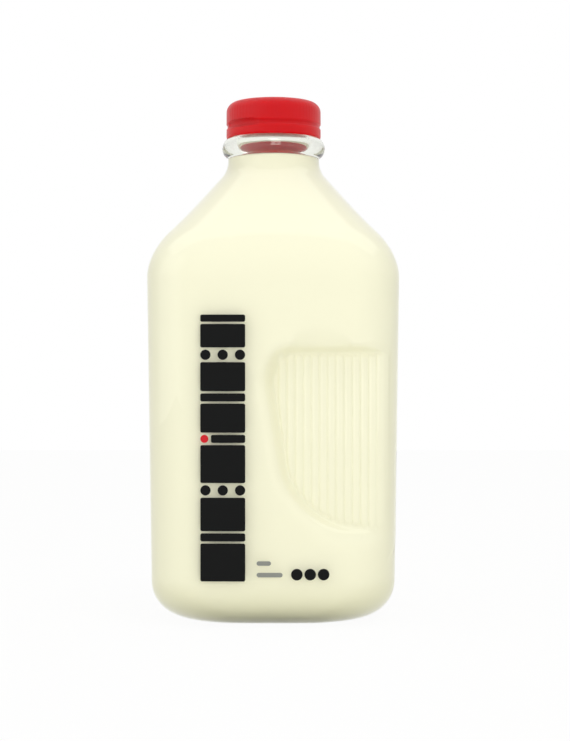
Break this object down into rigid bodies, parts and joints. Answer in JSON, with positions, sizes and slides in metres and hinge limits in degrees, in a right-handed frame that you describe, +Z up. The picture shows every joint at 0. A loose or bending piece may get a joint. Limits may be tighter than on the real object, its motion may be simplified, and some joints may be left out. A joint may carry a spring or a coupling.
{
  "type": "glass milk bottle",
  "caption": "Rounded-square clear glass milk bottle, full of milk, with a ribbed finger grip let into its front and back beside one edge, a beaded neck and a red push-on cap.",
  "frame": {"origin": "middle of the base, on the table", "axes": "+Z up through the mouth, front of the bottle towards -Y, the grips near its +X side"},
  "size_m": [0.1178, 0.1178, 0.245],
  "materials": {
    "glass": "clear soda-lime glass, smooth moulded surface",
    "milk": null,
    "print": "fired enamel print on the glass, in the look only",
    "cap": "red moulded polyethylene, satin gloss"
  },
  "bodies": {
    "root": {"bottle": "glass", "milk": "milk", "cap": "cap"}
  },
  "joints": []
}
